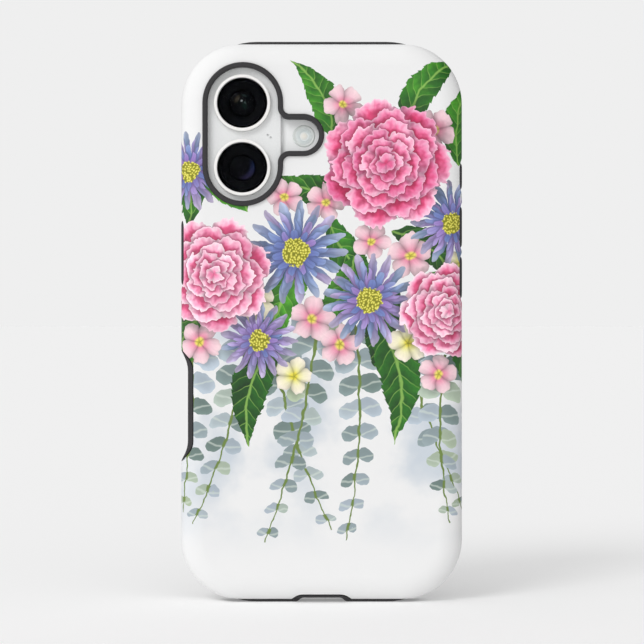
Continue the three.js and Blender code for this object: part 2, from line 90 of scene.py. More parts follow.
CAMERA_X = -21.35
CAMERA_Z = 126.7
LIP_PILL = 10.85
LIP_UP = 8.85
LIP_DOWN = 8.35
LOBE_X = -5.05
LOBE = 5.68
FILLET = 1.8
LIP_BAND = 1.35
LIP_ROUND = 0.45
PLATEAU = 10.5
PLATEAU_Y = -4.1
PLATEAU_EDGE = 0.5  # finer than in the source, as the photograph shows
PLATEAU_SUNK = 0.4
LENS_X = -21.5
LENS_APART = 17.5
RING = 7.7
RING_BORE = 6.75
RING_Y = -5.6
PANE = 6.45
MODULE_HALF = 7.6
BARREL = 6.25
BARREL_LEDGES = 4
ELEMENT = 3.6
FLASH_X = -4.8
FLASH_Z = 126.6
FLASH = 3.03
MICROPHONES = ((-14.6, 126.8), (-13.8, 126.1))
MICROPHONE = 0.3
MICROPHONE_DEEP = 0.45
SENSOR_Z = 140.6
SENSOR_HALF = 9.5
SENSOR_RADIUS = 2.6
COIL_Z = 68.0

KEYS = {
    "action": (1, 112.1, 119.4),
    "volume_up": (1, 96.3, 107.6),
    "volume_down": (1, 82.4, 94.0),
    "power": (-1, 86.1, 103.8),
}
KEY_BACK_Y = -2.65
KEY_FRONT_Y = 3.5
KEY_CORNER = 1.9
KEY_DOME = (0.9, 0.6)  # how far its rim is rounded across and how far down
KEY_INNER = (1.4, 1.6)  # half the width of the key below, and how much sooner it ends
KEY_SINK = 1.2  # how far a key reaches into the frame
KEY_PROUD = 0.35  # and how far it stands out of it
WINDOW_FLARE = 1.1  # how much wider a key cover's window is at its mouth
CAMERA_KEY = (45.4, 62.6, 3.3)  # from, to and width
CAMERA_KEY_RECESS = 0.1  # how far inside the phone's side its face lies
CAMERA_KEY_SINK = 1.1
CAMERA_KEY_ROOM = 0.6  # how far round it the liner is open
SCOOP = (38.2, 68.6)
SCOOP_RUN = 6.0
SCOOP_SHELL = 34.7
SCOOP_LINER = 36.25
ARCH_SHELL = (5.0, 10.6, 2.2)  # half its width above, half its width below and its height
ARCH_LINER = (4.8, 7.3, 1.2)
PORT = (6.6, 3.3)
SOUND_PORT = (4.4, 1.1)
SOUND_PORT_X = 15.5


# ---- Forms ----


def spot(axis, u, v, at):
    """A point across an axis, at a station along it."""
    return {X: (at, u, v), Y: (u, at, v), Z: (u, v, at)}[axis]


def bevel(form, geometry, radius, segments, affect="EDGES"):
    bmesh.ops.bevel(
        form, geom=geometry, offset=radius, offset_type="OFFSET", segments=segments, profile=0.5,
        affect=affect, clamp_overlap=False, material=-1,
    )


def prism(axis, corners, start, end, segments=8):
    """A prism along an axis. Each corner is (u, v) or, where it is rounded, (u, v, radius)."""
    form = bmesh.new()
    spots = [form.verts.new(spot(axis, *corner[:2], start)) for corner in corners]
    form.faces.new(spots)
    for vertex, corner in zip(spots, corners):
        if len(corner) > 2:
            bevel(form, [vertex], corner[2], segments, "VERTICES")
    bmesh.ops.remove_doubles(form, verts=form.verts, dist=0.01)
    grown = bmesh.ops.extrude_face_region(form, geom=form.faces[:])["geom"]
    way = Vector()
    way[axis] = end - start
    moved = [g for g in grown if isinstance(g, bmesh.types.BMVert)]
    bmesh.ops.translate(form, vec=way, verts=moved)
    bmesh.ops.recalc_face_normals(form, faces=form.faces[:])
    return form


def rounded(left, right, low, high, radius):
    """The corners of a rectangle with round corners."""
    most = min(right - left, high - low) / 2 * 0.9999
    corners = ((left, low), (right, low), (right, high), (left, high))
    return [(*corner, min(radius, most)) for corner in corners]


def pill(u, v, half_u, half_v):
    return rounded(u - half_u, u + half_u, v - half_v, v + half_v, min(half_u, half_v))


def round_rim(form, axis, station, segments, run, drop=None):
    """Rounds the rim of an end face: run across the face, drop down the sides if it differs."""
    drop = drop or run
    about = Vector()
    about[axis] = -station
    space = Matrix.Translation(about)
    stretch = Vector((1, 1, 1))
    stretch[axis] = run / drop
    bmesh.ops.scale(form, vec=stretch, space=space, verts=form.verts)
    flat = [e for e in form.edges if all(abs(v.co[axis] - station) < 1e-4 for v in e.verts)]
    bevel(form, [e for e in flat if e.calc_face_angle(0) > 0.5], run, segments)
    stretch[axis] = drop / run
    bmesh.ops.scale(form, vec=stretch, space=space, verts=form.verts)


def turned(x, z, profile, steps=96):
    """A round piece about an axis along Y. The profile's spots are (radius, y)."""
    form = bmesh.new()
    spots = [form.verts.new((x + radius, y, z)) for radius, y in profile]
    for first, second in zip(spots, spots[1:] + spots[:1]):
        if profile[spots.index(first)][0] or profile[spots.index(second)][0]:
            form.edges.new((first, second))
    bmesh.ops.spin(
        form, geom=form.verts[:] + form.edges[:], cent=(x, 0, z), axis=(0, 1, 0),
        angle=math.tau, steps=steps, use_merge=True,
    )
    bmesh.ops.remove_doubles(form, verts=form.verts, dist=1e-4)
    bmesh.ops.recalc_face_normals(form, faces=form.faces[:])
    return form


# ---- From forms to finished pieces ----


def added(name, data):
    """A new object in the scene."""
    made = bpy.data.objects.new(name, data)
    bpy.context.scene.collection.objects.link(made)
    return made


def as_object(form, name="form"):
    if isinstance(form, bpy.types.Object):
        return form
    mesh = bpy.data.meshes.new(name)
    form.to_mesh(mesh)
    form.free()
    return added(name, mesh)


def settle(piece):
    """Turns a piece's modifiers into its mesh."""
    graph = bpy.context.evaluated_depsgraph_get()
    mesh = bpy.data.meshes.new_from_object(piece.evaluated_get(graph))
    piece.modifiers.clear()
    old, piece.data = piece.data, mesh
    bpy.data.meshes.remove(old)


def shaped(form, join=(), cut=(), keep=()):
    """A form joined with others, then cut by others, then kept only inside others."""
    piece = as_object(form)
    tools = []
    for operation, forms in (("UNION", join), ("DIFFERENCE", cut), ("INTERSECT", keep)):
        for other in forms:
            tools.append(as_object(other))
            change = piece.modifiers.new(operation, "BOOLEAN")
            change.operation = operation
            change.solver = "MANIFOLD"
            change.object = tools[-1]
    settle(piece)
    for tool in tools:
        bpy.data.meshes.remove(tool.data)
    return piece


def finished(name, form, material, nodes=(), angle=40.0):
    """A piece in metres, with smooth faces, that rides on the part's body."""
    piece = as_object(form)
    piece.name = piece.data.name = name
    piece.data.transform(Matrix.Scale(MM, 4))
    piece.data.polygons.foreach_set("use_smooth", [True] * len(piece.data.polygons))
    piece.data.set_sharp_from_angle(angle=math.radians(angle))
    even = piece.modifiers.new("even shading", "WEIGHTED_NORMAL")
    even.keep_sharp = True
    settle(piece)
    piece.data.materials.clear()  # a Boolean leaves an empty slot
    piece.data.materials.append(material)
    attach(piece, "root")
    if nodes:
        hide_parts(*nodes)
    return piece


def unroll(shell):
    """Gives each spot of the shell its place in the print, which wraps round the edges."""
    places = shell.data.uv_layers.new(name="print")
    flat = CASE_HALF - EDGE_RUN
    low, high = SHELL_LOW + EDGE_RUN, SHELL_HIGH - EDGE_RUN
    corner = SHELL_CORNER - EDGE_RUN
    for loop in shell.data.loops:
        x, y, z = shell.data.vertices[loop.vertex_index].co / MM
        mid_x = max(corner - flat, min(flat - corner, x))
        mid_z = max(low + corner, min(high - corner, z))
        mid = Vector((mid_x, mid_z))
        out = Vector((x, z)) - mid
        run = max(out.length - corner, 0.0)
        drop = max(y - BACK_Y, 0.0)
        if run:
            over_edge = math.hypot(run, min(drop, EDGE_DROP))
            out *= (corner + over_edge + max(drop - EDGE_DROP, 0)) / out.length
        places.data[loop.index].uv = (mid + out) / PRINT_SCALE


# ---- The case ----


def case_outline(inset):
    half, low, high = CASE_HALF - inset, SHELL_LOW + inset, SHELL_HIGH - inset
    return rounded(-half, half, low, high, SHELL_CORNER - inset)


def case_form(inset=0.0):
    """The case's outer form, or the form that lies evenly inside it."""
    form = prism(Y, case_outline(inset), BACK_Y + inset, FRONT_Y, 22)
    round_rim(form, Y, BACK_Y + inset, 12, EDGE_RUN - inset, EDGE_DROP - inset)
    round_rim(form, Y, FRONT_Y, 5, FRONT_ROUND)
    return form


def under_shell(clearance, front):
    """The hollow in the shell, or the liner's form where the shell covers it."""
    side, back = SHELL_SIDE + clearance, SHELL_BACK + clearance
    form = prism(Y, case_outline(side), BACK_Y + back, front, 22)
    round_rim(form, Y, BACK_Y + back, 8, EDGE_RUN - side, EDGE_DROP - back)
    return form


def camera_outline(inset):
    """An upright pill with a lobe to its right for the flash."""
    radius, lobe = LIP_PILL - inset, LOBE - inset
    left, right, tip = CAMERA_X - radius, CAMERA_X + radius, LOBE_X + lobe
    low, high = CAMERA_Z - LIP_DOWN - radius, CAMERA_Z + LIP_UP + radius
    under, over = CAMERA_Z - lobe, CAMERA_Z + lobe
    end, nose, fillet = radius * 0.9999, lobe * 0.9999, FILLET + inset
    return (
        (left, low, end), (right, low, end), (right, under, fillet), (tip, under, nose),
        (tip, over, nose), (right, over, fillet), (right, high, end), (left, high, end),
    )


def slope(*handles, points=12):
    """The points of a smooth slope, from its start, two handles and its end."""
    return [point.xy for point in interpolate_bezier(*[Vector((u, v, 0)) for u, v in handles], points)]


def scoop(bed, longer=0.0):
    """What is left of the case's left side where it slopes in to the camera key."""
    low, high = SCOOP[0] - longer, SCOOP[1] + longer
    away, edge = -CASE_HALF - PAST, -CASE_HALF - 0.05
    eased, along, half = edge + 0.7, 1.6, SCOOP_RUN / 2
    corners = (
        (away, low),
        *slope((edge, low), (eased, low + along), (-bed, low + half), (-bed, low + SCOOP_RUN)),
        *slope((-bed, high - SCOOP_RUN), (-bed, high - half), (eased, high - along), (edge, high)),
        (away, high),
    )
    return prism(Y, corners, LIP_Y - PAST, FRONT_Y + PAST)


def arch(half, base, top, smaller=0.0):
    """What is under the arch over the charging port."""
    half, base, top = half - smaller, base - smaller, top - smaller
    mid = (half + base) / 2
    corners = (
        (-base, -PAST),
        (base, -PAST),
        *slope((base, 0), (mid, 0), (mid, top), (half, top)),
        *slope((-half, top), (-mid, top), (-mid, 0), (-base, 0)),
    )
    return prism(Y, corners, LIP_Y - PAST, FRONT_Y + PAST)


def bumper_stretch(clearance):
    """The stretch of the top and the bottom where the rubber comes through the shell."""
    back, near, far = BUMPER_BACK_Y + clearance, BUMPER_NEAR - clearance, BUMPER_FAR - clearance
    mid = (near + far) / 2
    corners = (
        (-far, FRONT_Y + PAST),
        *slope((-far, SHELL_FRONT_Y), (-mid, SHELL_FRONT_Y), (-mid, back), (-near, back)),
        *slope((near, back), (mid, back), (mid, SHELL_FRONT_Y), (far, SHELL_FRONT_Y)),
        (far, FRONT_Y + PAST),
    )
    return prism(Z, corners, -PAST, CASE_HIGH + PAST)


def key_outline(low, high, grow):
    back, front = KEY_BACK_Y - grow, KEY_FRONT_Y + grow
    return rounded(back, front, low - grow, high + grow, KEY_CORNER + grow)


def key_windows():
    """A straight way through the shell's side for each key cover, flared at its mouth."""
    forms = []
    seat = CASE_HALF - 0.9
    for side, low, high in KEYS.values():
        inner, mouth = side * (PHONE_HALF - PAST), side * (CASE_HALF + FIT)
        forms.append(prism(X, key_outline(low, high, FIT), inner, mouth))
        flared = prism(X, key_outline(low, high, FIT + WINDOW_FLARE), side * seat, mouth)
        round_rim(flared, X, side * seat, 1, WINDOW_FLARE, abs(mouth) - seat - 0.02)
        forms.append(flared)
    return forms


def ahead_of(station):
    """All the room before a station along the depth."""
    return prism(Y, rounded(-60, 60, -20, 180, 1), station, FRONT_Y + PAST)


def outer_shell():
    return shaped(
        case_form(),
        cut=[
            under_shell(0, FRONT_Y + PAST),
            ahead_of(SHELL_FRONT_Y),
            bumper_stretch(0),
            prism(Y, camera_outline(-HAIRLINE), LIP_Y - PAST, PHONE_BACK_Y, 16),
            scoop(SCOOP_SHELL, 0.5),
            arch(*ARCH_SHELL),
            *key_windows(),
        ],
    )


def phone_outline(grow):
    half, low, high = PHONE_HALF + grow, PHONE_LOW - grow, PHONE_HIGH + grow
    return rounded(-half, half, low, high, PHONE_CORNER + grow)


def phone_form(grow):
    edge = PHONE_EDGE + grow
    form = prism(Y, phone_outline(grow), PHONE_BACK_Y - grow, PHONE_FRONT_Y + grow, 14)
    for station in (PHONE_BACK_Y - grow, PHONE_FRONT_Y + grow):
        round_rim(form, Y, station, 4, edge)
    return form


def plateau(grow):
    """The camera plateau on the phone's back, sunk into the glass that it grows from."""
    radius, front = PLATEAU + grow, PLATEAU_Y - grow
    middle = CAMERA_Z + (LIP_UP - LIP_DOWN) / 2
    outline = pill(CAMERA_X, middle, radius, radius + (LIP_UP + LIP_DOWN) / 2)
    form = prism(Y, outline, front, PHONE_BACK_Y + PLATEAU_SUNK, 24)
    round_rim(form, Y, front, 8, PLATEAU_EDGE + grow)
    return form


def band(axis, corners, width, start, end, segments=8):
    """A prism's outer band alone: the wall of that width round its outline."""
    form = prism(axis, corners, start, end, segments)
    caps = [f for f in form.faces if abs(f.normal[axis]) > 0.99]
    bmesh.ops.inset_region(form, faces=caps, thickness=width, use_even_offset=True)
    bmesh.ops.bridge_loops(form, edges=list({e for f in caps for e in f.edges}))
    bmesh.ops.delete(form, geom=caps, context="FACES_ONLY")
    bmesh.ops.recalc_face_normals(form, faces=form.faces[:])
    return form


def camera_lip():
    """The rubber lip that stands round the cameras and the flash."""
    form = band(Y, camera_outline(0), LIP_BAND, LIP_Y, PHONE_BACK_Y - FIT, 16)
    round_rim(form, Y, LIP_Y, 4, LIP_ROUND)
    return form


def key_cover(side, low, high):
    face = side * CASE_HALF
    form = prism(X, key_outline(low, high, 0), side * (PHONE_HALF + FIT), face)
    round_rim(form, X, face, 4, *KEY_DOME)
    return form


def key_form(side, low, high, grow):
    half, sooner = KEY_INNER
    outline = pill(PHONE_MID_Y, (low + high) / 2, half + grow, (high - low) / 2 - sooner + grow)
    inner, outer = PHONE_HALF - KEY_SINK - grow, PHONE_HALF + KEY_PROUD + grow
    return prism(X, outline, side * inner, side * outer)


def camera_key_outline(grow):
    low, high, width = CAMERA_KEY
    return pill(PHONE_MID_Y, (low + high) / 2, width / 2 + grow, (high - low) / 2 + grow)


def camera_key():
    face = CAMERA_KEY_RECESS - PHONE_HALF
    form = prism(X, camera_key_outline(0), CAMERA_KEY_SINK - PHONE_HALF, face, 10)
    round_rim(form, X, face, 4, 0.3)
    return form


def inner_liner():
    bumper_outline = rounded(-BUMPER_HALF, BUMPER_HALF, 0, CASE_HIGH, BUMPER_CORNER)
    bumper = prism(Y, bumper_outline, BUMPER_BACK_Y, FRONT_Y, 16)
    round_rim(bumper, Y, BUMPER_BACK_Y, 4, BUMPER_ROUND)
    round_rim(bumper, Y, FRONT_Y, 5, FRONT_ROUND)
    mouth = prism(Y, camera_outline(LIP_BAND / 2), LIP_Y - PAST, PHONE_BACK_Y, 16)
    mouths = ((0, PORT), (-SOUND_PORT_X, SOUND_PORT), (SOUND_PORT_X, SOUND_PORT))
    return shaped(
        shaped(under_shell(FIT, PHONE_FRONT_Y), cut=[mouth]),
        join=[
            shaped(case_form(), keep=[ahead_of(SHELL_FRONT_Y + FIT)]),
            shaped(bumper, keep=[bumper_stretch(HAIRLINE)]),
            shaped(case_form(0.05), keep=[scoop(SCOOP_SHELL + FIT, 0.5 - FIT)]),
            shaped(case_form(0.05), keep=[arch(*ARCH_SHELL, FIT)]),
            camera_lip(),
            *[key_cover(*key) for key in KEYS.values()],
        ],
        cut=[
            phone_form(FIT),
            prism(Y, phone_outline(-SCREEN_COVER), PHONE_MID_Y, FRONT_Y + PAST, 12),
            plateau(0.3),
            *[key_form(*key, FIT) for key in KEYS.values()],
            scoop(SCOOP_LINER),
            prism(X, camera_key_outline(CAMERA_KEY_ROOM), -CASE_HALF - PAST, 1 - PHONE_HALF),
            arch(*ARCH_LINER),
            *[prism(Z, pill(x, PHONE_MID_Y, *size), -PAST, PHONE_LOW + 1) for x, size in mouths],
        ],
    )


# ---- The phone ----

LENSES = {
    "upper": (LENS_X, CAMERA_Z + LENS_APART / 2),
    "lower": (LENS_X, CAMERA_Z - LENS_APART / 2),
}


def back_pane():
    pane = prism(Y, phone_outline(-GLASS_INSET), PHONE_BACK_Y, GLASS_INNER_Y, 14)
    round_rim(pane, Y, PHONE_BACK_Y, 2, 0.2)

    def bore(x, z, radius, depth=GLASS_INNER_Y + PAST):
        return prism(Y, pill(x, z, radius, radius), PLATEAU_Y - PAST, depth, 16)

    return shaped(
        pane,
        join=[plateau(0)],
        cut=[
            *[bore(x, z, RING + 0.04) for x, z in LENSES.values()],
            bore(FLASH_X, FLASH_Z, FLASH + 0.02),
            *[bore(x, z, MICROPHONE, PLATEAU_Y + MICROPHONE_DEEP) for x, z in MICROPHONES],
        ],
    )


def lens_ring(x, z):
    base = (PLATEAU_Y + PHONE_BACK_Y) / 2
    bore_edge = ((RING_BORE, RING_Y + 0.3), (RING_BORE + 0.12, RING_Y + 0.05), (RING_BORE + 0.25, RING_Y))
    outer_edge = ((RING - 0.2, RING_Y), (RING - 0.06, RING_Y + 0.06), (RING, RING_Y + 0.2))
    return turned(x, z, ((RING_BORE, base), *bore_edge, *outer_edge, (RING, base)))


def lens_pane(x, z):
    front, back, wide = RING_Y + 0.15, RING_Y + 0.55, PANE + 0.2
    return turned(x, z, ((0, front), (PANE, front), (wide, front + 0.2), (wide, back), (0, back)))


def camera_module(x, z):
    """A blackened barrel whose stepped cone narrows to the front element, on its block."""
    mouth, floor, front, back, half = -4.45, -2.6, -1.4, 1.8, MODULE_HALF
    profile = [(0, back - 1), (BARREL, back - 1), (BARREL, mouth), (BARREL - 0.35, mouth)]
    for ledge in range(BARREL_LEDGES):
        radius = BARREL - 0.8 - 0.45 * ledge
        y = mouth + 0.25 + 0.35 * ledge
        profile += [(radius, y), (radius, y + 0.22)]
    profile += [(ELEMENT + 0.1, floor), (0, floor)]
    block = prism(Y, rounded(x - half, x + half, z - half, z + half, 1), front, back)
    return shaped(turned(x, z, profile), join=[block])


def front_element(x, z):
    """The domed front element of a lens, seated in its barrel."""
    reach, base = 0.9, -2.75
    angles = [k * math.pi / 20 for k in range(11)]
    dome = [(ELEMENT * math.sin(a), base - reach * math.cos(a)) for a in angles]
    return turned(x, z, [*dome, (0, base)])


def flash_lens():
    """A moulded lens with fine rings round a clear middle."""
    front, back, edge = PHONE_BACK_Y - 0.02, GLASS_INNER_Y, 0.12
    profile = [(0, back), (FLASH, back), (FLASH, front + edge), (FLASH - edge, front)]
    radius, clear, pitch = 2.45, 1.1, 0.27
    while radius > clear:
        profile += [(radius, front), (radius - edge, front + 0.14)]
        radius -= pitch
    profile += [(0.95, front + 0.1), (0.6, front + 0.02), (0, front)]
    return turned(FLASH_X, FLASH_Z, profile)


# ---- Finishes worked out by nodes ----


class Wire:
    """A number, vector or colour that nodes work out, written like any other number."""

    def __init__(self, socket):
        self.socket, self.tree = socket, socket.id_data

    def into(self, operation, *others, clamp=False):
        return step("Math", self, *others, operation=operation, use_clamp=clamp)

    scaled = partialmethod(into, "MULTIPLY_ADD")  # times the first number, plus the second
    at_least = partialmethod(into, "MAXIMUM")
    at_most = partialmethod(into, "MINIMUM")

    __add__ = partialmethod(into, "ADD")
    __sub__ = partialmethod(into, "SUBTRACT")
    __rsub__ = partialmethod(into, "MULTIPLY_ADD", -1.0)
    __mul__ = partialmethod(into, "MULTIPLY")
    __truediv__ = partialmethod(into, "DIVIDE")
    __pow__ = partialmethod(into, "POWER")
    __lt__ = partialmethod(into, "LESS_THAN")
    __gt__ = partialmethod(into, "GREATER_THAN")
    __abs__ = partialmethod(into, "ABSOLUTE")


def feed(socket, term):
    if isinstance(term, Wire):
        term.tree.links.new(term.socket, socket)
    elif term is not None:
        socket.default_value = (*term, 1) if socket.type == "RGBA" else term


def step(kind, *terms, tree=None, out=0, **settings):
    """One node, in its terms' own tree: the terms feed its inputs in their order."""
    tree = tree or next(term.tree for term in terms if isinstance(term, Wire))
    made = tree.nodes.new("ShaderNode" + kind)
    for name, value in settings.items():
        setattr(made, name, value)
    for socket, term in zip(made.inputs, terms):
        feed(socket, term)
    return Wire(made.outputs[out])


def along(operation, *terms):
    """A vector worked out from vectors, or a number such as a length or a dot product."""
    out = 1 if operation in ("LENGTH", "DOT_PRODUCT") else 0
    return step("VectorMath", *terms, out=out, operation=operation)


dot = partial(along, "DOT_PRODUCT")
length_of = partial(along, "LENGTH")
packed = partial(step, "CombineXYZ")


def parts(vector):
    split = vector.tree.nodes.new("ShaderNodeSeparateXYZ")
    feed(split.inputs[0], vector)
    return [Wire(output) for output in split.outputs]


def dimmed(color, light):
    return step("VectorMath", color, None, None, light, operation="SCALE")


def pick(without, there, share):
    """The second vector where the share is 1, and the first where it is 0."""
    return step("Mix", share, None, None, None, without, there, out=1, data_type="VECTOR")


def blend(without, there, share):
    """Two colours mixed."""
    return step("Mix", share, *(None,) * 5, without, there, out=2, data_type="RGBA")


def smooth(value, low, high, start=0.0, end=1.0):
    """An eased way from one number to another while the value goes from low to high."""
    return step("MapRange", value, low, high, start, end, interpolation_type="SMOOTHSTEP")


fading = partial(smooth, start=1.0, end=0.0)


def shades(value, *stops):
    """The colour of a value between coloured stops."""
    made = value.tree.nodes.new("ShaderNodeValToRGB")
    feed(made.inputs[0], value)
    elements = made.color_ramp.elements
    while len(elements) < len(stops):
        elements.new(1.0)
    for element, (position, _) in zip(elements, stops):
        element.position = position
    for element, (_, color) in zip(elements, stops):
        element.color = (*color, 1)
    return Wire(made.outputs[0])


def noise(place, scale, detail=2.0, **settings):
    return step("TexNoise", place, None, scale, detail, **settings)


def even(wire, number):
    """One number everywhere, in the wire's own tree."""
    return wire.scaled(0.0, number)


def chance(seed):
    """A fixed random number from 0 to 1 for each seed."""
    return step("TexWhiteNoise", None, seed, noise_dimensions="1D")


WHITE = (240, 240, 240)
PRINT_SCALE = 100.0  # millimetres of print for one unit of its UV map
LIT = 0.95  # how much of its own colour a surface that faces the camera sends back


def tone(red, green, blue):
    """The own colour of what the photograph's light shows in this tone, from 0 to 255."""
    values = [c / 255 for c in (red, green, blue)]
    return [LIT * (((v + 0.055) / 1.055) ** 2.4 if v > 0.04 else v / 12.92) for v in values]


def tones(value, *stops):
    """The colour of a value between stops, each a position and a tone."""
    return shades(value, *[(position, tone(*color)) for position, *color in stops])


# ---- The printed pattern: garden flowers, leaves and sprigs on white ----

MARK = 0.001  # a motif's number is carried beside its place, made this small
GOLDEN = 2.4  # each motif is turned by this much more than the one before
ROW_TURN = 0.37  # each row of petals is turned by this share of a petal
ROW_STEP = 20.0  # how far apart the numbers of its petals are from row to row
MOTIF_STEP = 131.0  # and from motif to motif

# Round motifs are (x, z, radius), and rows of petals (reach, number of petals), from outside in.
PINK_BLOOMS = ((17.5, 119, 17.5), (-29, 89, 15.5), (34, 79, 13))
PINK_ROWS = ((1.0, 7), (0.85, 7), (0.69, 6), (0.54, 6), (0.4, 5), (0.27, 4), (0.15, 3))
BLUE_BLOOMS = ((-7, 95, 14), (35.5, 103, 12), (13, 82, 13), (-36, 117, 11), (-17, 71, 10.5))
BLUE_ROWS = ((1.0, 17), (0.83, 15), (0.64, 13), (0.46, 11))
BLOSSOM_ROWS = ((1.0, 5),)
BLOSSOMS = (
    (1, 108.5, 5.6), (5, 70, 5.8), (-2.5, 77, 6.2), (24, 94, 6.4), (23.5, 70.5, 5.6),
    (-18, 81.5, 5.8), (-10, 110, 5.2), (6, 135, 5.6), (30.5, 128, 6), (-33, 70.5, 6),
    (13.5, 98, 5.4), (-7.5, 61.5, 5.2), (31.5, 62, 5.4), (38.5, 92, 5),
)
# Leaves are (x, z, bearing, length, breadth), and sprigs (x, z, bearing, length, bend).
LEAVES = (
    (2, 105, -52, 25, 0.36), (19, 101, -40, 24, 0.36), (-3, 92, -112, 28, 0.34), (9, 94, -124, 24, 0.36),
    (21, 86, -98, 27, 0.34), (12, 113, 172, 27, 0.34), (-20, 106, 150, 22, 0.36), (22, 128, 50, 27, 0.34),
    (3, 126, 118, 24, 0.36), (33, 74, -62, 33, 0.34), (-28, 82, -118, 34, 0.36), (15, 76, -82, 33, 0.36),
    (-12, 72, -104, 31, 0.35), (38, 118, 80, 25, 0.36), (-36, 102, 105, 24, 0.36), (26, 88, -28, 24, 0.4),
)
SPRIGS = (
    (-21, 68, -97, 50, 0.0035), (-12.5, 66, -80, 48, -0.003), (-1, 76, -96, 58, 0.0022),
    (9.5, 72, -84, 54, 0.003), (23, 70, -78, 46, -0.003), (-35, 66, -90, 44, 0.002),
    (33, 64, -97, 40, -0.004),
)


def nearest(place, motifs):
    """The way from the middle of the nearest round motif, in its own radius, and its length."""
    way = reach = None
    for index, (x, z, radius) in enumerate(motifs):
        middle = (-x / radius, -z / radius, index * MARK)
        away = along("MULTIPLY_ADD", place, (1 / radius, 1 / radius, 0), middle)
        far = length_of(away)
        if way is None:
            way, reach = away, far
        else:
            way = pick(way, away, far < reach)
            reach = far.at_most(reach)
    return way, reach


def round_motif(place, motifs):
    """How far out a spot is in the nearest round motif, its bearing and the motif's number."""
    way, reach = nearest(place, motifs)
    across, up, mark = parts(way)
    index = (mark / MARK).into("ROUND")
    bearing = up.into("ARCTAN2", across) + index * GOLDEN
    return reach, bearing, index


def petal_rows(rows, bearing, index, edge_of):
    """Rows of petals, each on top of the one outside it.

    Gives the spot's place in its petal (across, number, inwards from the rim), how much light
    the rows above let through, and whether the spot is in the outermost row at all.
    """
    spot = light = inside_all = None
    for row, (size, count) in enumerate(rows):
        around = bearing.scaled(count / math.tau, row * ROW_TURN)
        half = around.into("PINGPONG", 0.5)
        number = around.into("ROUND").into("FLOORED_MODULO", count)
        width = size - rows[row + 1][0] if row + 1 < len(rows) else size
        rim = edge_of(half, size, width)
        inside = rim > 0.0
        there = packed(half, number + row * ROW_STEP, rim)
        if spot is None:
            spot, inside_all = there, inside
            light = even(rim, 1.0)
        else:
            spot = pick(spot, there, inside)
            open_sky = rim.scaled(-1.5, 0.1, clamp=True)
            light = (light * open_sky).at_least(inside)
    half, number, rim = parts(spot)
    return half, number + index * MOTIF_STEP, rim, light, inside_all


def pink_blooms(place, rough):
    """Large round blooms with many rows of broad pink petals."""
    reach, bearing, index = round_motif(place, PINK_BLOOMS)
    wavy = reach + rough * 0.16

    def edge_of(half, size, width):
        bow = (half * half).scaled(-0.62 * size / width, size / width)
        return wavy.scaled(-1 / width, bow)

    half, number, rim, light, inside = petal_rows(PINK_ROWS, bearing, index, edge_of)
    luck = chance(number)
    depth = smooth(rim, 0.0, 1.25)
    hot = tones(
        depth,
        (0.0, 250, 176, 208), (0.1, 246, 140, 184), (0.45, 238, 98, 152), (1.0, 208, 36, 96),
    )
    pale = tones(
        depth,
        (0.0, 255, 226, 236), (0.2, 250, 196, 216), (0.6, 242, 150, 186), (1.0, 220, 84, 130),
    )
    color = blend(hot, pale, (luck * 0.5 + (index > 0.5) * 0.45).into("MULTIPLY", 1.0, clamp=True))
    grain = noise(packed(bearing * 5.0, reach * 1.4, number), 2.2, 3.0)
    folds = (half**3.0) * -3.2 + 1.06
    lit = folds * (light * 0.5 + 0.5) * (grain * 0.5 + 0.76) * (luck * 0.2 + 0.9)
    return dimmed(color, lit), inside, smooth(wavy, 0.94, 1.16, 0.5, 0.0)


def blue_blooms(place, rough):
    """Round blooms with rows of narrow pointed blue and lilac petals and a yellow middle."""
    reach, bearing, index = round_motif(place, BLUE_BLOOMS)
    wavy = reach + rough * 0.1

    def edge_of(half, size, width):
        room = wavy.scaled(-1 / size, 1.0).into("SQRT")
        return (room * 0.66 - half) * 2.0

    half, number, _, light, inside = petal_rows(BLUE_ROWS, bearing, index, edge_of)
    luck = chance(number)
    color = tones(
        reach,
        (0.2, 96, 104, 178), (0.45, 126, 146, 208), (0.75, 166, 188, 230), (1.0, 206, 218, 244),
    )
    lilac = tones(
        reach,
        (0.2, 132, 100, 176), (0.6, 176, 156, 216), (1.0, 222, 210, 240),
    )
    color = blend(color, lilac, smooth(luck + index * 0.12, 0.45, 0.95))
    groove = smooth(half, 0.0, 0.14, 0.8, 1.0)
    lit = groove * (light * 0.5 + 0.5) * (half * -0.9 + 1.12) * (luck * 0.24 + 0.88)
    seeds = step("TexVoronoi", place, None, 1.5, voronoi_dimensions="2D")
    dots = tones(
        smooth(seeds, 0.0, 0.6),
        (0.0, 246, 240, 130), (0.5, 214, 206, 62), (1.0, 132, 132, 24),
    )
    middle = wavy.scaled(1.0, seeds * 0.05)
    heart = fading(middle, 0.27, 0.3)
    shade = smooth(wavy, 0.4, 1.08, 0.6, 0.0)
    return blend(dimmed(color, lit), dots, heart), inside, shade


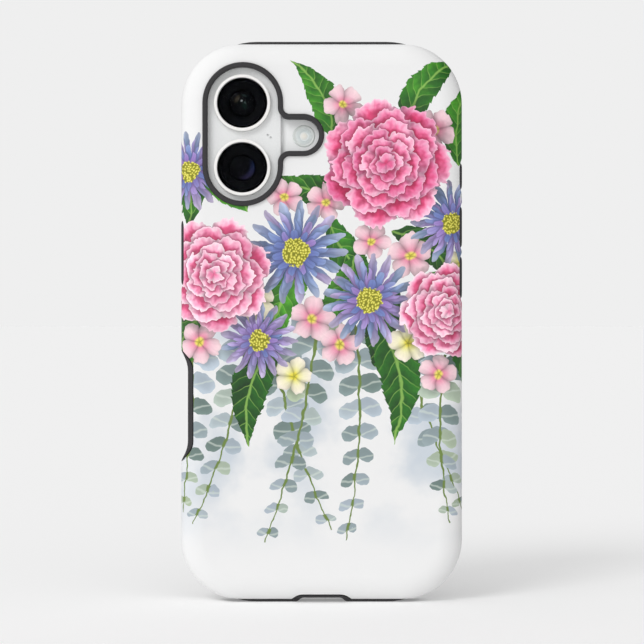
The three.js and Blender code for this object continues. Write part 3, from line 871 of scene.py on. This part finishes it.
def blossoms(place, rough):
    """Small blossoms with five round cream and pale pink petals."""
    reach, bearing, index = round_motif(place, BLOSSOMS)
    wavy = reach + rough * 0.2

    def edge_of(half, size, width):
        room = (half * half).scaled(-3.9, 1.0).into("SQRT")
        return room.scaled(0.42, 0.56) * size - wavy

    half, number, rim, _, inside = petal_rows(BLOSSOM_ROWS, bearing, index, edge_of)
    luck = chance(index + 7.0)
    cream = tones(
        reach,
        (0.0, 150, 150, 30), (0.13, 236, 222, 70), (0.24, 238, 232, 140),
        (0.5, 246, 240, 200), (1.0, 250, 240, 226),
    )
    blush = tones(
        reach,
        (0.0, 166, 150, 40), (0.14, 240, 226, 96), (0.26, 232, 140, 168),
        (0.6, 244, 200, 212), (1.0, 250, 222, 226),
    )
    grain = noise(packed(bearing * 3.0, reach * 1.2, number), 2.4)
    folds = (half**2.5) * -3.0 + 1.05
    lit = folds * smooth(rim, 0.0, 0.12, 0.9, 1.0) * (grain * 0.24 + 0.88)
    shade = smooth(wavy, 0.6, 1.25, 0.5, 0.0)
    return dimmed(blend(cream, blush, luck > 0.42), lit), inside, shade


def on_bearing(place, x, z, bearing, length=1.0):
    """How far along a bearing from a spot a place is, and how far to its left, in lengths."""
    turn = math.radians(bearing)
    away = along("SUBTRACT", place, (x, z, 0))
    run = dot(away, (math.cos(turn) / length, math.sin(turn) / length, 0))
    return run, dot(away, (-math.sin(turn) / length, math.cos(turn) / length, 0))


def broad_leaves(place, rough):
    """Broad pointed leaves with toothed edges, seen in the order in which they lie."""
    spot = cover = light = None
    for index, (x, z, bearing, length, breadth) in enumerate(LEAVES):
        run, side = on_bearing(place, x, z, bearing, length)
        swell = (1.0 - run) * run
        side = swell.scaled(0.5 * (-1) ** index, side)
        teeth = (run * (length / 2.1)).into("FRACT").scaled(-0.035, 0.03)
        half = swell * (teeth * 4.0 + breadth * 4.0)
        half = half * run.scaled(-0.8, 1.3).at_least(0.1)
        rim = (half * 0.5 + rough * 0.02) - abs(side)
        inside = rim > 0.0
        there = packed(run, side, rim.at_most(0.05) + index)
        if spot is None:
            spot, cover = there, inside
            light = even(rim, 1.0)
        else:
            spot = pick(spot, there, inside)
            cover = cover.at_least(inside)
            open_sky = rim.scaled(-14.0, 0.2, clamp=True)
            light = (light * open_sky).at_least(inside)
    run, side, mark = parts(spot)
    number = (mark + 0.2).into("FLOOR")
    luck = chance(number)
    sideways = abs(side)
    ribs = (run * 9.0 - sideways * 9.0) + number
    between = ribs.into("PINGPONG", 0.5)
    lift = ribs.into("FRACT")
    net = step("TexVoronoi", place, None, 1.1, voronoi_dimensions="2D")
    patch = noise(place, 0.16, 3.0)
    color = tones(
        patch * 0.7 + luck * 0.3,
        (0.25, 16, 74, 18), (0.5, 36, 112, 20), (0.72, 76, 156, 34), (0.9, 124, 190, 62),
    )
    vein = fading(between, 0.015, 0.07) * smooth(sideways, 0.0, 0.16, 0.8, 0.25)
    midrib = fading(sideways, 0.004, 0.017)
    veins = vein.at_least(midrib)
    fold = smooth(side, -0.01, 0.01, 0.84, 1.08)
    puffed = smooth(lift, 0.0, 0.85, 1.16, 0.8)
    lit = fold * puffed * (light * 0.6 + 0.4) * (net * 0.24 + 0.86) * (luck * 0.3 + 0.85)
    color = blend(dimmed(color, lit), tone(150, 198, 92), veins * 0.75)
    return color, cover, smooth(rim, -0.12, 0.0, 0.0, 0.3)


def sprigs(place, rough):
    """Slim hanging sprigs with pairs of round, pale grey-green leaves."""
    pitch, base = 6.4, 3.7
    spot = cover = None
    for index, (x, z, bearing, length, bend) in enumerate(SPRIGS):
        run, side = on_bearing(place, x, z, bearing)
        side = (run * run).scaled(bend, side)
        pair = (run * (1 / pitch)).into("ROUND")
        within = pair.scaled(-pitch, run)
        last = math.floor(length / pitch)
        slim = pair.scaled(-0.6 / last, 1.0) * (pair > -0.5) * (pair < last + 0.5)
        out = abs(side) - slim * (base * 0.92)
        leaf = length_of(packed(within * (1 / 3.0) - out * 0.1, out * (1 / base))) + rough * 0.2
        inside = (leaf < slim).at_least(abs(side) < slim * 0.4) * (slim > 0.1)
        there = packed(within, side, leaf.at_most(3.0) * 0.1 + pair + index * 100.0)
        spot = there if spot is None else pick(spot, there, inside)
        cover = inside if cover is None else cover.at_least(inside)
    within, side, mark = parts(spot)
    number = mark.into("FLOOR")
    leaf = (mark - number) * 10.0
    luck = chance(number + (side > 0.0) * 0.5)
    color = tones(
        luck,
        (0.0, 118, 140, 134), (0.4, 150, 166, 170), (0.75, 178, 190, 202), (1.0, 168, 184, 150),
    )
    centre = fading(abs(within + abs(side) * 0.25 - 0.8), 0.1, 0.4)
    stem = fading(abs(side), 0.25, 0.6)
    lit = smooth(leaf, 0.3, 1.0, 0.94, 1.12) * (within * 0.05 + 1.0) * (luck * 0.2 + 0.88)
    color = blend(dimmed(color, lit), tone(214, 224, 214), centre * 0.5)
    return blend(color, tone(110, 134, 62), stem), cover, even(cover, 0.0)


def flower_print(tree):
    """The colours of the printed pattern over the shell's back and round its sides."""
    spot = step("UVMap", tree=tree, uv_map="print")
    place = along("MULTIPLY", spot, (PRINT_SCALE, PRINT_SCALE, 0))
    wander = noise(place, 0.22, out=1, noise_dimensions="2D")
    place = along("MULTIPLY_ADD", wander, (1.6, 1.6, 0), place)
    place = along("SUBTRACT", place, (0.8, 0.8, 0))
    rough = noise(place, 0.55, 1.5, noise_dimensions="2D") - 0.5
    paint = tone(*WHITE)
    wash = noise(place, 0.045, 4.0, noise_dimensions="2D")
    heights = parts(place)[1]
    band = smooth(heights, 10.0, 40.0) * fading(heights, 70.0, 95.0)
    paint = blend(paint, tone(190, 202, 214), smooth(wash, 0.36, 0.68) * band * 0.75)
    painted = even(rough, 0.0)
    for motif in (sprigs, broad_leaves, blossoms, blue_blooms, pink_blooms):
        color, cover, shade = motif(place, rough)
        paint = blend(dimmed(paint, 1.0 - painted * shade), color, cover)
        painted = painted.at_least(cover)
    return paint


# ---- Materials ----


def principled(name, color, roughness, **sockets):
    """A material whose constants sit on the shader's own sockets."""
    material = bpy.data.materials.new(name)
    material.use_nodes = True
    shader = material.node_tree.nodes["Principled BSDF"]
    shader.inputs["Base Color"].default_value = (*color, 1)
    shader.inputs["Roughness"].default_value = roughness
    for socket, value in sockets.items():
        shader.inputs[socket.replace("_", " ")].default_value = value
    return material


def relief(height, depth):
    """The surface's normals with a height from 0 to 1 raised this many millimetres."""
    bump = height.tree.nodes.new("ShaderNodeBump")
    bump.inputs["Distance"].default_value = depth * MM
    feed(bump.inputs["Height"], height)
    return Wire(bump.outputs[0])


def dressed(name, look, color=(0, 0, 0), roughness=0.5, depth=0.01, **sockets):
    """A material whose look works out its colour, roughness and height at each place in mm.

    What the look gives as None stays at the constant.
    """
    material = principled(name, color, roughness, **sockets)
    tree = material.node_tree
    shader = tree.nodes["Principled BSDF"]
    place = along("MULTIPLY", step("TexCoord", tree=tree, out=3), (1 / MM,) * 3)
    base, rough, height = look(place)
    feed(shader.inputs["Base Color"], base)
    feed(shader.inputs["Roughness"], rough)
    if height is not None:
        feed(shader.inputs["Normal"], relief(height, depth))
    return material


def gray(level):
    return (level,) * 3


def around(place, x, z):
    """How far a place is from an axis along Y, in millimetres."""
    away = along("SUBTRACT", place, (x, 0, z))
    return length_of(along("MULTIPLY", away, (1, 0, 1)))


def turned_lines(far, pitch):
    """Fine uneven rings, as a lathe or a polishing wheel leaves them."""
    return step("TexNoise", None, far, 1 / pitch, 1.0, noise_dimensions="1D")


def moulded_print(place):
    peel = noise(place, 1.1)
    return flower_print(place.tree), peel * 0.08 + 0.38, peel


def mottled(scale, detail, low, high, spread, rough, place):
    """An even finish: its colour, between two stops, its roughness and height waver together."""
    grain = noise(place, scale, detail)
    return shades(grain, low, high), grain * spread + rough, grain


pale_stops = (0.25, (0.7, 0.705, 0.715)), (0.75, (0.8, 0.8, 0.81))
blasted_metal = partial(mottled, 9.0, 2.0, *pale_stops, 0.16, 0.3)
plain_black = partial(mottled, 5.0, 2.0, (0.3, gray(0.014)), (0.7, gray(0.024)), 0.2, 0.42)
crinkled_foil = partial(mottled, 0.35, 4.0, (0.35, gray(0.03)), (0.65, gray(0.055)), 0.3, 0.25)


def matt_rubber(place):
    grain, patches = noise(place, 4.0, 3.0), noise(place, 0.1)
    wear = grain * 0.5 + patches * 0.5
    color = shades(wear, (0.3, (0.022, 0.021, 0.023)), (0.7, (0.031, 0.029, 0.032)))
    return color, grain * 0.2 + 0.52, grain


def frosted_white(place):
    mottle = noise(place, 6.0)
    color = shades(mottle, (0.3, (0.765, 0.775, 0.775)), (0.7, (0.79, 0.8, 0.8)))
    # The glass below the plateau is painted lighter than the plateau, to lift the shade of the well round
    # the cameras; the added roughness there is its real matt finish.
    low = smooth(parts(place)[1], PLATEAU_Y + 0.5, PHONE_BACK_Y - 0.1)
    matt_painted_lighter = shades(mottle, (0.3, (0.92, 0.93, 0.93)), (0.7, (0.95, 0.96, 0.96)))
    return blend(color, matt_painted_lighter, low), mottle * 0.1 + 0.22 + low * 0.25, None


def polished_ring(x, z, place):
    lines = turned_lines(around(place, x, z), 0.07)
    color = shades(lines, (0.3, (0.9, 0.89, 0.87)), (0.7, (0.95, 0.94, 0.92)))
    return color, lines * 0.14 + 0.26, None


def coated_pane(x, z, place):
    far = around(place, x, z)
    color = shades(far * (1 / PANE), (0.0, (0.93, 0.95, 1.0)), (1.0, (0.82, 0.84, 0.9)))
    return color, smooth(noise(place, 0.5, 3.0), 0.5, 0.8, 0.0, 0.05), None


def blackened_barrel(x, z, place):
    lines = turned_lines(around(place, x, z), 0.12)
    color = shades(lines, (0.3, (0.0006, 0.0008, 0.0014)), (0.7, (0.0014, 0.0018, 0.003)))
    return color, lines * 0.2 + 0.4, lines


def glint(place, x, z, long, wide, turn=0.0):
    """A soft oval spot of light, from 0 to 1."""
    away = along("SUBTRACT", place, (x, 0, z))
    c, s = math.cos(math.radians(turn)), math.sin(math.radians(turn))
    run = dot(away, (c / long, 0, s / long))
    side = dot(away, (-s / wide, 0, c / wide))
    return fading(length_of(packed(run, side, 0.0)), 0.2, 1.0)


def amber_painted_reflections(x, z, place):
    """The upper lens: painted reflections, a faint amber streak and a pale green arc, and two tiny
    painted catch lights.
    """
    far = around(place, x, z) * 0.4
    color = shades(far, (0.3, (0.001, 0.002, 0.002)), (1.0, (0.001, 0.001, 0.002)))
    for light, right, up, *oval in (
        ((0.045, 0.036, 0.022), -1.4, 1.2, 1.6, 0.8, 60),
        ((0.004, 0.013, 0.01), 0.6, -0.7, 1.5, 0.9, -70),
        ((0.02, 0.034, 0.03), 0.5, 2.1, 1.1, 0.4, -20),
        ((0.06, 0.09, 0.08), 0.7, 0.2, 0.5, 0.35, -50),
        ((0.3, 0.34, 0.32), -0.2, 0.7, 0.42, 0.36, 20),
    ):
        color = blend(color, light, glint(place, x + right, z + up, *oval))
    return color, None, None


def violet_painted_reflections(x, z, place):
    """The lower lens: a painted blue and violet reflection, a crescent right of its middle, and a small
    painted catch light.
    """
    disc = fading(around(place, x + 0.1, z), 2.9, 3.5)
    hollow = smooth(around(place, x - 0.8, z + 0.7), 2.4, 3.5, 0.0, 1.0)
    hue = smooth(parts(place)[2], z - 3.0, z + 1.0)
    painted_crescent = blend((0.026, 0.02, 0.05), (0.014, 0.022, 0.06), hue)
    # The painted crescent fades in towards the lower right, as if lit from there.
    right, down = 0.85, -0.53
    start = right * x + down * z
    lit = smooth(dot(place, (right, 0, down)), start, start + 3)
    color = blend((0.001, 0.001, 0.002), painted_crescent, disc * hollow * lit)
    return blend(color, (0.03, 0.032, 0.036), glint(place, x - 0.7, z + 0.6, 0.5, 0.4)), None, None


def ridged_flash(place):
    color = shades(
        around(place, FLASH_X, FLASH_Z) * (1 / FLASH),
        (0.0, (0.93, 0.9, 0.8)), (0.25, (0.9, 0.89, 0.84)), (0.4, (0.8, 0.86, 0.86)),
        (0.8, (0.84, 0.87, 0.86)), (0.9, (0.66, 0.7, 0.67)), (1.0, (0.78, 0.82, 0.8)),
    )
    return color, noise(place, 2.0) * 0.1 + 0.18, None


def within(place, half_x, middle_z, half_z, corner):
    """How far outside an upright rectangle with round corners a place is, in millimetres."""
    x, _, z = parts(place)
    over = (abs(x) - (half_x - corner)).at_least(0.0)
    above = (abs(z - middle_z) - (half_z - corner)).at_least(0.0)
    return length_of(packed(over, above, 0.0)) - corner


def switched_off_screen(place):
    """Black glass: a border, the dark picture area, and the island with the front camera, whose dark lens
    has a painted bluish glint.
    """
    middle, border, corner = (PHONE_LOW + PHONE_HIGH) / 2, 3.1, PHONE_CORNER - 2.6
    picture = within(place, PHONE_HALF - border, middle, middle - PHONE_LOW - border, corner)
    island = within(place, SENSOR_HALF, SENSOR_Z, SENSOR_RADIUS, SENSOR_RADIUS)
    shown = fading(picture, -0.1, 0.1)
    color = blend((0.0012, 0.0012, 0.0014), (0.0105, 0.0107, 0.0125), shown)
    color = blend(color, (0.0008, 0.0008, 0.001), fading(island, -0.08, 0.08))
    eye = around(place, SENSOR_HALF - SENSOR_RADIUS, SENSOR_Z)
    # The front camera's lens: near black, with a painted bluish glint in rings near its middle.
    lens_and_painted_glint = shades(
        eye * (1 / SENSOR_RADIUS),
        (0.0, (0.004, 0.006, 0.02)), (0.35, (0.008, 0.01, 0.03)),
        (0.5, (0.001, 0.001, 0.002)), (0.75, (0.004, 0.004, 0.006)),
    )
    color = blend(color, lens_and_painted_glint, fading(eye, 1.2, 1.3))
    smudges = smooth(noise(place, 0.09, 4.0), 0.45, 0.75, 0.04, 0.11)
    return color, smudges, None


def speaker_mesh(place):
    holes_painted_dark = step("TexVoronoi", place, None, 1.6)
    # The holes are painted near black, as shade in them; the bump also sinks them.
    color = shades(holes_painted_dark, (0.25, gray(0.004)), (0.4, gray(0.03)))
    return color, holes_painted_dark * 0.3 + 0.4, holes_painted_dark


def drawn_steel(place):
    lines = noise(along("MULTIPLY", place, (6.0, 6.0, 0.3)), 1.0)
    color = shades(lines, (0.3, (0.44, 0.44, 0.46)), (0.7, (0.58, 0.58, 0.6)))
    return color, lines * 0.25 + 0.2, lines


def wound_copper(place):
    turns_and_groove_shade = (around(place, 0, COIL_Z) * 1.6).into("PINGPONG", 0.5)
    # The copper is painted darker in the grooves between the turns, as shade; the same rings give the
    # turns their bump.
    color = shades(turns_and_groove_shade * 2.0, (0.1, (0.2, 0.08, 0.03)), (0.6, (0.72, 0.36, 0.18)))
    return color, 0.5 - turns_and_groove_shade * 0.5, turns_and_groove_shade


def circuit_board(place):
    chips = step("TexVoronoi", place, None, 0.22, distance="CHEBYCHEV")
    x, _, z = parts(place)
    lines = (x + z * 0.5).into("PINGPONG", 0.6)
    color = shades(lines, (0.1, (0.05, 0.14, 0.07)), (0.2, (0.015, 0.06, 0.03)))
    color = blend(color, (0.02, 0.02, 0.022), chips < 0.3)
    return color, None, fading(chips, 0.28, 0.32)


def lamp_phosphor(place):
    grains = step("TexVoronoi", place, None, 3.0)
    color = shades(grains, (0.1, (0.93, 0.78, 0.3)), (0.7, (0.8, 0.62, 0.16)))
    return color, None, grains


printed = dressed("printed shell", moulded_print, depth=0.008)
rubber = dressed("dark rubber", matt_rubber, depth=0.02)
white_glass = dressed("white glass", frosted_white)
pale_metal = dressed("pale aluminium", blasted_metal, depth=0.006, Metallic=1.0)
screen_glass = dressed("screen glass", switched_off_screen, Specular_IOR_Level=0.35)
dark_plastic = dressed("dark plastic", plain_black)
speaker_black = dressed("speaker mesh", speaker_mesh, depth=0.1)
battery_foil = dressed("battery foil", crinkled_foil, depth=0.1)
steel = dressed("drawn steel", drawn_steel, Metallic=1.0)
copper = dressed("wound copper", wound_copper, depth=0.2, Metallic=1.0)
board_green = dressed("circuit board", circuit_board, depth=0.3)
phosphor = dressed("lamp phosphor", lamp_phosphor, roughness=0.6, depth=0.05)
flash_clear = dressed("flash lens", ridged_flash)

# ---- Pieces ----

shell = finished("printed_shell", outer_shell(), printed, ["outer_shell"])
unroll(shell)
finished("rubber_liner", inner_liner(), rubber, ["inner_liner"])
finished("back_pane", back_pane(), white_glass, ["back_glass"])
for (place, (x, z)), lens_painted_reflections in zip(LENSES.items(), (amber_painted_reflections, violet_painted_reflections)):
    metal = dressed(place + " polished ring", partial(polished_ring, x, z), Metallic=0.5)
    finished(place + "_ring", lens_ring(x, z), metal, [place + "_lens_ring"])
    pane = partial(coated_pane, x, z)
    clear = dressed(place + " coated pane", pane, Transmission_Weight=1.0, IOR=1.07)
    finished(place + "_pane", lens_pane(x, z), clear, [place + "_lens_glass"])
    barrel, nodes = partial(blackened_barrel, x, z), [place + "_camera_module"]
    black = dressed(place + " blackened barrel", barrel, Specular_IOR_Level=0.05)
    finished(place + "_module", camera_module(x, z), black, nodes)
    # Each front element's colour holds its painted reflections and catch lights.
    lens_reflections = partial(lens_painted_reflections, x, z)
    glass = dressed(place + " front element", lens_reflections, roughness=0.05, Specular_IOR_Level=0.03)
    finished(place + "_element", front_element(x, z), glass)
finished("flash_cover", flash_lens(), flash_clear, ["flash_lens"], angle=60)
finished("camera_key_cap", camera_key(), pale_metal, ["camera_key"])

KEPT = (
    (pale_metal, ["phone_frame", *(name + "_button" for name in KEYS)]),
    (screen_glass, ["front_glass"]),
    (dark_plastic, ["display_panel", "front_camera"]),
    (phosphor, ["flash_emitter"]),
    (steel, ["charging_socket", "haptic_motor"]),
    (copper, ["charging_coil"]),
    (battery_foil, ["battery"]),
    (board_green, ["logic_board"]),
    (speaker_black, ["loudspeaker"]),
)
for material, nodes in KEPT:
    for node in nodes:
        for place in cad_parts[node].material_slots:
            place.material = material

# ---- Floor, light and camera ----

CAMERA_X_Z = (0.1, 76.1)
CAMERA_AWAY = 650.0
SCALE = 3.665  # pixels in a millimetre, where the case's sides are
IMAGE = 644
SENSOR = 36.0
FLOOR_WHITE = 0.75
FLOOR_GLOW = 0.22  # lightens the shadow, as light from under a pale sheet does
ROOM = 0.863  # the even tone of the room
SUN_STRENGTH = 0.95
SUN_ACROSS = 24.0  # degrees
SUN_TURN = 57.0  # the shadow falls this far back of the case's right
SUN_RISE = 35.5
SOFTBOX = (-0.61, -0.61, 0.51)  # the way to the middle of the softbox

ground = bmesh.new()
bmesh.ops.create_grid(ground, x_segments=1, y_segments=1, size=40000.0)
floor = as_object(ground, "floor")
floor.data.transform(Matrix.Scale(MM, 4))
own_light = {"Emission_Color": (1, 1, 1, 1), "Emission_Strength": FLOOR_GLOW}
pale = principled("pale floor", gray(FLOOR_WHITE), 0.9, Specular_IOR_Level=0.0, **own_light)
floor.data.materials.append(pale)

world = bpy.data.worlds.new("studio")
bpy.context.scene.world = world
world.use_nodes = True
# The room is darker at the right and low behind, lighter at the softbox, and even to the camera.
toward = step("TexCoord", tree=world.node_tree)
right, behind, up = parts(toward)
glow = 1.0 - smooth(up, 0.35, 0.8, 0.0, 0.08) - smooth(right, 0.1, 0.75, 0.0, 0.65)
glow = glow - smooth(behind, -0.2, 0.5, 0.0, 0.6) * fading(up, 0.3, 0.7)
softbox = dot(toward, SOFTBOX)
glow = (glow + smooth(softbox, 0.2, 0.95, 0.0, 0.2)).at_least(0.1) * ROOM
seen = step("LightPath", tree=world.node_tree)
glow = step("Mix", seen, None, glow, ROOM)
feed(world.node_tree.nodes["Background"].inputs["Color"], packed(glow, glow, glow))

sun_data = bpy.data.lights.new("soft sun", "SUN")
sun_data.energy = SUN_STRENGTH
sun_data.angle = math.radians(SUN_ACROSS)
sun = added("soft sun", sun_data)
sun.visible_glossy = False
turn, rise = math.radians(SUN_TURN), math.radians(SUN_RISE)
travel = Vector((math.cos(turn) * math.cos(rise), math.sin(turn) * math.cos(rise), -math.sin(rise)))
sun.rotation_euler = travel.to_track_quat("-Z", "Y").to_euler()

camera_data = bpy.data.cameras.new("camera")
camera_data.sensor_width = SENSOR
camera_data.lens = SCALE * CAMERA_AWAY / IMAGE * SENSOR
camera_data.clip_start, camera_data.clip_end = 0.01, 200.0
camera = added("camera", camera_data)
camera.location = (CAMERA_X_Z[0] * MM, -CAMERA_AWAY * MM, CAMERA_X_Z[1] * MM)
camera.rotation_euler = (math.radians(90), 0, 0)
bpy.context.scene.camera = camera

bpy.context.scene.view_settings.view_transform = "Standard"
